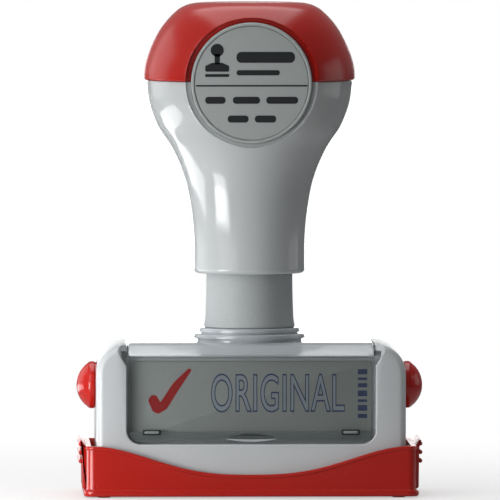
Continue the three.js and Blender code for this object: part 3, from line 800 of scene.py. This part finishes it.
def make_window(name, node, body, back):
    """Window flap: a clear plate with a round upper edge and an ear at each end, a thicker lower lip, two
    snap slots and a lens-shaped finger notch. Dark plates behind the slots and a dark line in the notch are
    painted shade, and a light line along the notch's lower edge is a painted highlight."""
    top = flap_high[2]
    outline = soften([(-FLAP_HALF, flap_low[2], 2.4), (FLAP_HALF, flap_low[2], 2.4), (FLAP_HALF, top, 0.3),
                      (-FLAP_HALF, top, 0.3)], steps=10)
    middle = (outline + np.roll(outline, -1, 0)) / 2
    edge = np.where(middle[:, 1] > top - 0.01, FLAP_THICK / 2, 0.25)
    clear_plate = plate(outline, FLAP_FRONT, FLAP_FRONT + FLAP_THICK, edge, steps=6)
    ear_end = FLAP_HALF + EAR
    pin = turned(soften([(0, -ear_end), (0.6, -ear_end, 0.15), (0.6, ear_end, 0.15), (0, ear_end)],
                        closed=False), 24)
    pin = shift(turn(pin, "y", 90), y=FLAP_FRONT + FLAP_THICK / 2, z=top - FLAP_THICK / 2)
    lip = block((-17.6, FLAP_FRONT - 0.14, flap_low[2] + 0.3), (17.6, FLAP_FRONT + 0.5, 12.4), 0.12)
    cuts = [plate(bar(x - 1.8, x + 1.8, 11.9, 13.0, 0.35), FLAP_FRONT - 1, FLAP_FRONT + 0.7) for x in SNAPS]
    scoop = turned(soften([(0, -4.4), (0.95, 0, 8), (0, 4.4)], closed=False, steps=16), 32)
    cuts.append(shift(turn(scoop, "y", 90), y=FLAP_FRONT - 0.15, z=11.55))
    shells = [clear_plate, pin, lip]
    tabs = [block((x - 1.4, FLAP_FRONT - 0.2, 12.2), (x + 1.4, FLAP_FRONT + 0.6, 12.7), 0.2) for x in SNAPS]
    # dark plates behind the snap slots: painted shade where the slots look dark
    slot_shades = [block((x - 1.75, FLAP_FRONT + 0.6, 11.95), (x + 1.75, FLAP_FRONT + 0.69, 12.95), 0.03)
              for x in SNAPS]
    # the low line, in the lighter clear finish, is a painted highlight; the upper one goes with the dark slot
    # plates as painted shade in the notch
    edge_highlight, upper = finger_edges()
    slot_shades.append(upper)
    groups = [shells, cuts, tabs, slot_shades, [edge_highlight]]
    if back:
        groups = [[turn(shell, "z", 180) for shell in group] for group in groups]
    shells, cuts, tabs, slot_shades, edge_highlight = groups
    piece(name, shells[:1], window_clear, body, (node,), joins=shells[1:], cuts=cuts,
          sharp=30)
    piece(name + "_snap_tabs", tabs, catch_clear, body)
    piece(name + "_finger_highlight", edge_highlight, cover_clear, body)
    piece(name + "_slot_shade", slot_shades, inner_black, body)


def lettering(name, word, low, high, depth, line=0.0):
    """A word set to fill a box in x and z: solid letters, or only their outlines drawn by a line."""
    text = bpy.data.curves.new(name, "FONT")
    text.body = word
    text.space_character, text.offset = 1.08, 0.012
    if line:
        text.fill_mode = "NONE"
        text.bevel_depth, text.bevel_resolution = line, 1
    else:
        text.extrude = 0.01
    obj = in_scene(name, text)
    mesh = final_mesh(obj)
    bpy.data.objects.remove(obj)
    points = np.empty(len(mesh.vertices) * 3)
    mesh.vertices.foreach_get("co", points)
    points, number = np.unique(points.reshape(-1, 3).round(5), axis=0, return_inverse=True)
    faces = [list(dict.fromkeys(number.reshape(-1)[list(p.vertices)].tolist())) for p in mesh.polygons]
    a, b = points.min(0), points.max(0)
    share = (points - a) / np.maximum(b - a, 1e-9)
    x = low[0] + share[:, 0] * (high[0] - low[0])
    z = low[1] + share[:, 1] * (high[1] - low[1])
    y = depth[0] + share[:, 2] * (depth[1] - depth[0])
    return np.stack([x, y, z], 1), [f[::-1] for f in faces if len(f) > 2]


WORD = "ORIGINAL"
TICK = [(-19.8, 18.5, 0.5), (-19.2, 19.6, 0.7), (-18.2, 19.5, 0.5), (-17.4, 18.2, 0.1), (-14.9, 22.0, 8),
        (-12.0, 24.7, 0.3), (-11.3, 24.5, 0.3), (-13.7, 20.9, 8), (-16.2, 16.9, 0.9), (-17.9, 15.9, 0.8),
        (-18.9, 16.5, 0.6)]
DASHES = [(15.1, 0.8), (16.5, 1.1), (18.2, 0.5), (19.3, 1.1), (21.0, 0.8), (22.4, 0.5), (23.5, 1.0)]


def make_card(name, node, back):
    """Index card with a tick, an outlined word and a column of dashes at its right-hand end."""
    low, high = card_low, card_high
    shell = block(low, high, 0.05)
    face = low[1]
    tick = flat_print([soften(TICK, steps=6)], face)
    dashes = flat_print([bar(20.5, 22.3, z, z + tall, 0.12) for z, tall in DASHES], face)
    word_low, word_high = (-7.7, 16.2), (18.0, 23.7)
    fill = [lettering(name + "_fill", WORD, word_low, word_high, (face - 0.01, face))]
    fill += flat_print([bar(-10.92, -10.8, 11.6, 25.2, 0.03)], face, thick=0.01)
    line = [lettering(name + "_line", WORD, word_low, word_high, (face - 0.035, face - 0.005), 0.016)]
    groups = {"": ([shell], card_stock, (node,)), "_tick": (tick, ink_red, ()),
              "_dashes": (dashes, ink_blue, ()), "_letters": (fill, ink_pale, ()),
              "_letter_lines": (line, ink_blue, ())}
    for end, (shells, finish, stands_for) in groups.items():
        if back:
            shells = [turn(s, "z", 180) for s in shells]
        piece(name + end, shells, finish, "casing", stands_for)


# ------------------------------------------------------------------ buttons and springs

def make_button(side):
    """Button: a domed head on a shank, a captive flange and a guide stem."""
    tip = button_high[0]
    dome = soften([(4.4, 27.8), (4.4, 29.9, 0.1), (4.55, 29.95, 0.1), (4.55, 30.7, 0.3)], closed=False)
    head = smooth_through([(4.4, 31.05), (3.5, 32.05), (2.3, 32.85), (1.1, 33.25), (0, tip)], 30)
    stem = soften([(0, button_low[0]), (2.0, button_low[0], 0.4), (2.0, 26.9, 0.2), (5.15, 26.9, 0.2),
                   (5.15, 27.8, 0.2), (4.4, 27.8)], closed=False)[:-1]
    shell = facing_right(np.concatenate([stem, dome, head]), 96)
    coil_shell = shift(turn(coil(3.2, 0.25, button_coil_low[0], button_coil_high[0], 4), "y", 90), z=BUTTON_Z)
    if side == "left":
        shell, coil_shell = turn(shell, "z", 180), turn(coil_shell, "z", 180)
    body = f"{side}_release"
    piece(f"{side}_push_button", [shell], button_red, body, (f"{side}_button",))
    spring = piece(f"{side}_push_spring", [coil_shell], spring_steel, body,
                   (f"{side}_button_spring",))
    travel = joint_reach(f"{side}_button_push") / MM
    length = button_coil_high[0] - button_coil_low[0]
    (length - travel) / length
    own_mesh(spring)


def joint_reach(name):
    """How far the named slide runs, in metres."""
    return next(j["range_m"][1] for j in frame["record"]["behaviour"]["joints"] if j["name"] == name)


def make_stem():
    """Stem unit inside the grip: rod, screw, washers and return spring."""
    top = rod_high[2]
    rod = soften([(0, rod_low[2]), (3.4, rod_low[2], 0.4), (3.4, 24), (3.1, 24.3), (3.1, 26.7), (3.4, 27),
                  (3.4, top, 0.3), (1.8, top, 0.2), (1.8, 46), (0, 46)], closed=False)
    piece("stem_rod", [turned(rod, 64)], inner_black, "handle", ("plunger_rod",))
    low, high = screw_low[2], screw_high[2]
    threads = []
    for z in np.arange(low + 0.8, 55.0, 0.6):
        threads += [(1.2, z), (1.4, z + 0.3)]
    screw = [(0, low), (0.9, low + 0.1)] + threads + [(1.4, 61)]
    head = soften([(1.4, 61), (3.0, 61, 0.2), (3.0, 62.1, 0.5), (1.8, high, 1.0), (0, high)], closed=False)
    slot = block((-2.0, -0.35, high - 1.1), (2.0, 0.35, high + 1))
    screw = turned(np.concatenate([screw, head[1:]]), 48)
    piece("knob_screw", [screw], screw_steel, "handle", ("grip_screw",),
          cuts=[slot, turn(slot, "z", 90)])
    for name, node, inner, outer in (("knob_screw_washer", "screw_washer", 1.9, 4.6),
                                     ("spring_top_washer", "spring_washer", 3.7, 6.6)):
        low, high = corners(node)
        ring = soften([(inner, low[2], 0.1), (outer, low[2], 0.15), (outer, high[2], 0.15),
                       (inner, high[2], 0.1)])
        piece(name, [turned(ring, 64)], screw_steel, "handle", (node,))
    length = coil_high[2] - coil_low[2]
    shell = coil(5.8, 0.45, coil_low[2], coil_high[2], 9, 12)
    spring = piece("main_spring", [shell], spring_steel, "handle", ("return_spring",))
    (length - joint_reach("handle_press") / MM) / length
    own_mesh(spring)


# ------------------------------------------------------------------ die unit

def make_die_unit():
    """Die holder with its boss and ribs, ink foam, printing die with its raised mark, and the clamp frame."""
    low, high = holder_low, holder_high
    tray = lying_slab(oblong(-26, 26, -9.4, 9.4, 1.2), low[2], 14.8, 0.3)
    boss = turned(soften([(0, 14), (7, 14), (7, high[2], 0.5), (0, high[2])], closed=False), 96)
    ribs = [block((-15, y - 0.6, 14.4), (15, y + 0.6, 18), 0.15) for y in (-4.5, 4.5)]
    hollow = block((-24.2, -8, 5), (24.2, 8, 13.8), 0.4)
    socket = turned([(0, 17), (3.7, 17), (3.7, 30), (0, 30)], 48)
    piece("die_carrier", [tray], inner_black, "handle", ("die_holder",), joins=[boss, *ribs],
          cuts=[hollow, socket])
    pad = block(foam_low + 0.05, foam_high - 0.05, 0.5)
    piece("ink_pad", [pad], foam_ink, "handle", ("ink_foam",))
    base = [block((die_low[0], die_low[1], 8.0), (die_high[0], die_high[1], die_high[2]), 0.2),
            block((-20.6, -6.6, 7.0), (20.6, 6.6, 8.2), 0.2)]
    face, middle = die_low[2], 1.15          # of the raised mark: its height, and the middle of its print
    mark = lettering("die_word", WORD, (-8.2, 16.2), (18.3, 23.7), (0, 1.0))
    tick = plate(soften(TICK, steps=6), 0, 1.0)
    relief = []
    for points, faces in (mark, tick):
        x, y, z = points[:, 0] - middle, points[:, 1], points[:, 2] - 20
        relief.append((np.stack([x * 0.95, z, face + y], 1), faces))
    piece("print_die", base + relief, die_rubber, "handle", ("die_plate",))
    low, high = clamp_low, clamp_high
    rim = lying_slab(oblong(-25.8, 25.8, -9.2, 9.2, 1.2), low[2], high[2], 0.2)
    piece("die_frame", [rim], inner_black, "handle", ("die_clamp",),
          cuts=[block((-23.4, -8, 7.7), (23.4, 8, 12)), block((-20.9, -6.9, 5), (20.9, 6.9, 12))])


# ------------------------------------------------------------------ dust cover

def wave(x):
    """Top of the long walls: low + rise sin^2 of a quarter turn times (|x| / reach)^1.35."""
    t = np.minimum(np.abs(x) / 30.5, 1) ** 1.35
    return 4.45 + 5.45 * np.sin(np.pi / 2 * t) ** 2


def make_dust_cover():
    """Dust cover: a tray with a flange, walls whose upper edge is a wave along both long sides, and a grip
    panel with three ribs at each end."""
    hx, hy, wall, corner = 31.6, 15.6, 0.95, 1.6
    plan = oblong(-hx, hx, -hy, hy, corner, steps=14)
    per_corner = len(plan) // 4
    long_side = np.linspace(-hx + corner, hx - corner, 81)[1:-1]
    front = np.stack([long_side, np.full_like(long_side, -hy)], 1)
    rear = np.stack([long_side[::-1], np.full_like(long_side, hy)], 1)
    first, ends, last = plan[:per_corner], plan[per_corner:3 * per_corner], plan[3 * per_corner:]
    plan = np.concatenate([first, front, ends, rear, last])
    top = wave(plan[:, 0])
    low, flange, lip = 0.25, 0.55, 0.2
    foot = [(-1.5, low), (flange - 0.35, low), (flange - 0.1, low + 0.1), (flange, low + 0.35),
            (flange, 1.05), (flange - 0.1, 1.3), (flange - 0.3, 1.4), (0.12, 1.42), (0.03, 1.5), (0, 1.7)]
    rim = [(0, -0.75), (lip * 0.7, -0.66), (lip, -0.5), (lip, -0.3), (0.1, -0.08), (-0.1, 0),
           (-wall + 0.2, 0), (-wall + 0.05, -0.08), (-wall, -0.25)]
    inside = [(-wall, 1.6), (-wall - 0.1, 1.35), (-wall - 0.35, 1.25), (-1.5, 1.25)]
    out, up = np.array(foot + rim + inside).T
    hangs = np.repeat([0, 1, 0], [len(foot), len(rim), len(inside)])
    height = up + hangs * top[:, None]
    tray = walled(plan, np.stack([np.broadcast_to(out, height.shape), height], 2))
    panel = soften([(31.3, 1.3, 0.1), (32.35, 1.5, 0.3), (32.45, 9.2, 1.2), (32.9, 10.7, 0.12),
                    (32.45, 10.7, 0.15), (31.9, 9.8, 0.6), (31.3, 9.5, 0.1)], steps=5)
    grips = [plate(panel, -9, 9, 0.35, steps=5)]
    rib = turned(soften([(0, -8.6), (0.42, -8.6, 0.35), (0.42, 8.6, 0.35), (0, 8.6)], closed=False), 24)
    grips += [shift(turn(rib, "x", 90), x=32.66, z=z) for z in (6.7, 8.35, 10.0)]
    grips += [turn(shell, "z", 180) for shell in grips]
    stud = turned(soften([(0, 0), (1.2, 0, 0.12), (1.5, 0.5), (0, 0.5)], closed=False), 32)
    feet = [shift(stud, x=28.3 * side, y=13.2 * end) for side in (-1, 1) for end in (-1, 1)]
    piece("cover_tray", [tray], cover_red, "cover", ("dust_cover",), sharp=40)
    piece("cover_end_grips", grips, cover_red, "cover", sharp=40)
    piece("cover_feet", feet, cover_red, "cover")


# ------------------------------------------------------------------ floor, light and camera

def make_floor():
    """Pale floor that fades to plain white away from the stamp."""
    half = 6.0
    mesh = bpy.data.meshes.new("floor")
    mesh.from_pydata([(x * half, y * half, 0) for x, y in ((-1, -1), (1, -1), (1, 1), (-1, 1))], [],
                     [(0, 1, 2, 3)])
    floor = in_scene("floor", mesh)
    finish = Finish("floor_white", roughness=0.6, specular=0.2)
    finish.feed(base_color=finish.tint(finish.noise(300, 3), (0.88, 0.88, 0.88, 1), (0.92, 0.92, 0.92, 1)))
    far = finish.node("VectorMath", {"operation": "LENGTH"}, {0: finish.place}, out="Value").over(0.02, 0.2)
    faint = finish.node("Emission", {}, {"Color": (1, 1, 1, 1), "Strength": 0.1})
    white = finish.node("Emission", {}, {"Color": (1, 1, 1, 1), "Strength": 1.0})
    seen = finish.node("LightPath", out="Is Camera Ray")
    glow = finish.node("MixShader", {}, {0: seen, 1: faint, 2: white})
    fade = finish.node("MixShader", {}, {0: 0.45 + far * 0.55, 1: finish.surface, 2: glow})
    finish.put(finish.output.inputs[0], fade)
    mesh.materials.append(finish.material)


def softbox(name, turn_left, distance, height, width, tall, glow, aim=0.05, tilt=None):
    """Rectangular lamp, turned to the left of the front by so many degrees, that faces the stamp or tilts
    back by its own angle. Its glow is the brightness of its surface."""
    data = bpy.data.lights.new(name, "AREA")
    data.shape, data.size, data.size_y = "RECTANGLE", width, tall
    data.energy = glow * math.pi * width * tall
    lamp = in_scene(name, data)
    around = math.radians(turn_left)
    lamp.location = (-distance * math.sin(around), STEM_Y * MM - distance * math.cos(around), height)
    facing = Vector((0, STEM_Y * MM, aim)) - lamp.location
    if tilt is not None:
        facing.z = math.tan(math.radians(tilt)) * math.hypot(facing.x, facing.y)
    lamp.rotation_euler = facing.to_track_quat("-Z", "Y").to_euler()
    lamp.visible_camera = False


def make_world():
    """Surroundings: white where they are seen. For light and reflections they are brighter behind and above
    than at the right and in front."""
    world = bpy.data.worlds.new("studio")
    bpy.context.scene.world = world
    world.use_nodes = True
    nodes = Nodes(world.node_tree)
    direction = nodes.node("TexCoord", out="Generated")
    behind = Vector((-0.8, 0.35, 0.45)).normalized()
    along = nodes.node("VectorMath", {"operation": "DOT_PRODUCT"}, {0: direction, 1: behind}, out="Value")
    glow = nodes.node("MapRange", {}, {0: along, 1: -0.7, 2: 0.9, 3: 0.13, 4: 0.4})
    lit = nodes.node("Background", {}, {"Color": (0.8, 0.8, 0.8, 1), "Strength": glow})
    white = nodes.node("Background", {}, {"Color": (1, 1, 1, 1), "Strength": 1.0})
    seen = nodes.node("LightPath", out="Is Camera Ray")
    nodes.node("OutputWorld", {}, {0: nodes.node("MixShader", {}, {0: seen, 1: lit, 2: white})})


def make_camera():
    """Long lens, almost level with the stamp, in front of its middle and a little to its left."""
    distance, rise, turn_left = 2.5, math.radians(2.3), math.radians(1.6)
    picture_height = 0.0964
    aim = Vector((0.00012, STEM_Y * MM, 0.04695))
    data = bpy.data.cameras.new("camera")
    data.sensor_width = 36
    data.lens = data.sensor_width * distance / picture_height
    camera = in_scene("camera", data)
    camera.location = aim + distance * Vector((-math.cos(rise) * math.sin(turn_left),
                                               -math.cos(rise) * math.cos(turn_left), math.sin(rise)))
    camera.rotation_euler = (aim - camera.location).to_track_quat("-Z", "Y").to_euler()
    bpy.context.scene.camera = camera


make_camera()
make_world()
make_floor()
softbox("key", 46, 0.36, 0.18, 0.30, 0.40, 1.45)
softbox("left_rear", 122, 0.50, 0.14, 0.36, 0.40, 0.9)
softbox("near_left", 56, 0.120, 0.018, 0.060, 0.036, 9.0, aim=-0.07)
softbox("low_left_front", 58, 0.115, 0.004, 0.045, 0.10, 6.0, tilt=75)
softbox("low_left_rear", 116, 0.135, 0.004, 0.120, 0.10, 4.4, tilt=75)
softbox("right_rear", -104, 0.45, 0.09, 0.26, 0.24, 0.6)
softbox("top", 180, 0.08, 0.42, 0.40, 0.42, 2.0)
softbox("backdrop", 180, 0.60, 0.06, 0.36, 0.14, 2.0)
bpy.context.scene.view_settings.view_transform = "Standard"

make_grip()
make_cap()
make_badge()
make_badge_print()
make_neck()
make_clear_cover()
make_casing()
make_window("window_front", "front_window", "front_flap", False)
make_window("window_rear", "rear_window", "rear_flap", True)
make_card("card_front", "front_index_card", False)
make_card("card_rear", "rear_index_card", True)
make_button("left")
make_button("right")
make_stem()
make_die_unit()
make_dust_cover()
